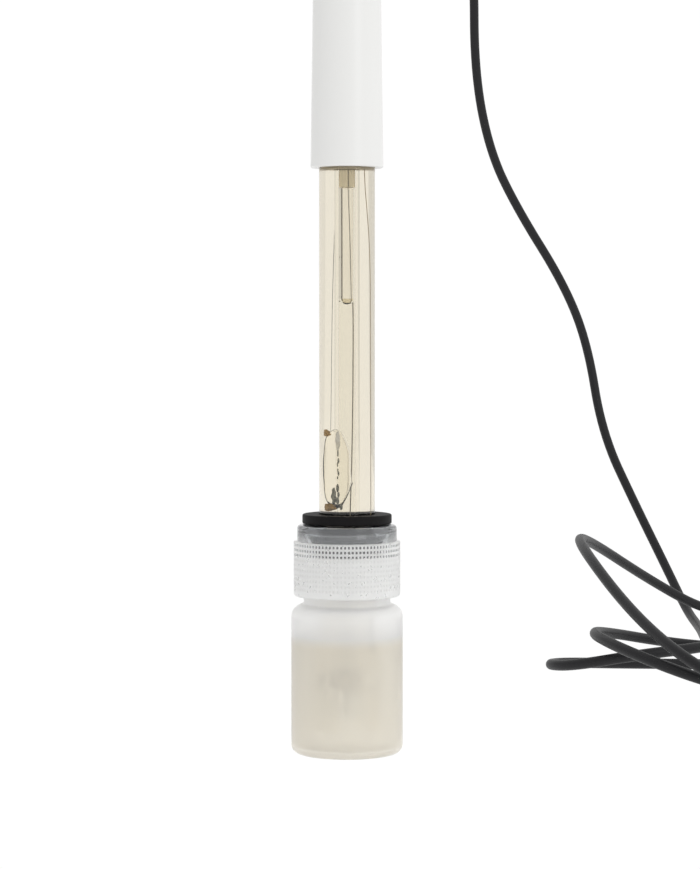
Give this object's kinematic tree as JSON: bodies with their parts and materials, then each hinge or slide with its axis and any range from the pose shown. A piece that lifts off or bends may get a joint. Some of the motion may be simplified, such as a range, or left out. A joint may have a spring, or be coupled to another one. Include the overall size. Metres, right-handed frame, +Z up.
{
  "type": "ph electrode in storage bottle",
  "caption": "Combination pH electrode with a clear plastic body, stored in a screw-capped soaker bottle, with a thin black coaxial lead and a bayonet plug.",
  "frame": {"origin": "centre of the storage bottle's foot, on the surface that it stands on", "axes": "+Z up along the electrode and bottle, -Y towards the side that the lead arches away from, +X towards the side where the turns of the lead lie"},
  "size_m": [0.169, 0.2867, 0.266],
  "materials": {
    "frosted_plastic": "frosted translucent polypropylene",
    "cap_plastic": "translucent polypropylene, knurled",
    "solution": "clear liquid, faintly yellow",
    "amber_plastic": "clear pale amber plastic, polished",
    "gel": "clear pale gel",
    "clear_glass": "clear glass",
    "silver": "drawn silver wire, lightly tarnished",
    "silver_chloride": "dull coated tip",
    "ceramic": "unglazed white ceramic",
    "potting": "matt potting compound",
    "white_plastic": "smooth white plastic",
    "black_rubber": "matt black rubber",
    "black_jacket": "satin black cable jacket",
    "black_jacket_turns": "satin black cable jacket, loose turns with air between them",
    "shrink_sleeve": "black shrink sleeve",
    "core_insulation": "milky polyethylene",
    "nickel": "bright nickel plating on brass",
    "gold": "gold plating on brass",
    "white_insulator": "white fluoroplastic",
    "spring_steel": "spring steel"
  },
  "bodies": {
    "bottle": {"bottle": "frosted_plastic", "storage_solution": "solution", "cable_landing": "black_jacket", "cable_coil": "black_jacket_turns", "cable_tail": "black_jacket", "plug_boot": "black_rubber", "crimp_ferrule": "nickel", "plug_body": "nickel", "plug_insulator": "white_insulator", "centre_pin": "gold", "sleeve_clip": "spring_steel", "wave_washer": "spring_steel", "plug_gasket": "black_rubber"},
    "probe": {"body_tube": "amber_plastic", "glass_stem": "clear_glass", "glass_bulb": "clear_glass", "inner_filling": "gel", "inner_wire": "silver", "inner_element": "silver_chloride", "reference_gel": "gel", "reference_wire": "silver", "reference_element": "silver_chloride", "ceramic_junction": "ceramic", "stem_seal": "black_rubber", "stem_plug": "black_rubber", "top_seal": "potting", "white_cap": "white_plastic", "strain_relief": "black_rubber", "cable_end": "black_jacket", "cable_core": "core_insulation", "inner_joint_sleeve": "shrink_sleeve", "shield_joint": "shrink_sleeve", "cable": "black_jacket"},
    "seal": {"cap_oring": "black_rubber"},
    "cap": {"storage_cap": "cap_plastic"},
    "washer": {"sealing_washer": "black_rubber"},
    "plug_sleeve": {"coupling_sleeve": "nickel"}
  },
  "joints": [
    {"name": "probe_slide", "type": "slide", "parent": "bottle", "child": "probe", "axis": [0, 0, 1], "range_m": [0, 0.06]},
    {"name": "cap_lift", "type": "slide", "parent": "bottle", "child": "seal", "axis": [0, 0, 1], "range_m": [0, 0.0061]},
    {"name": "cap_turn", "type": "hinge", "parent": "seal", "child": "cap", "pos_m": [0, 0, 0.0395], "axis": [0, 0, 1], "range_deg": [0, 720]},
    {"name": "washer_slide", "type": "slide", "parent": "seal", "child": "washer", "axis": [0, 0, 1], "range_m": [0, 0.066]},
    {"name": "plug_sleeve_turn", "type": "hinge", "parent": "bottle", "child": "plug_sleeve", "pos_m": [0.15, 0.2082, 0.00725], "axis": [1, 0, 0], "continuous": true}
  ],
  "couplings": [
    {"joint": "cap_lift", "follows": "cap_turn", "m_per_rad": 0.00047746}
  ]
}
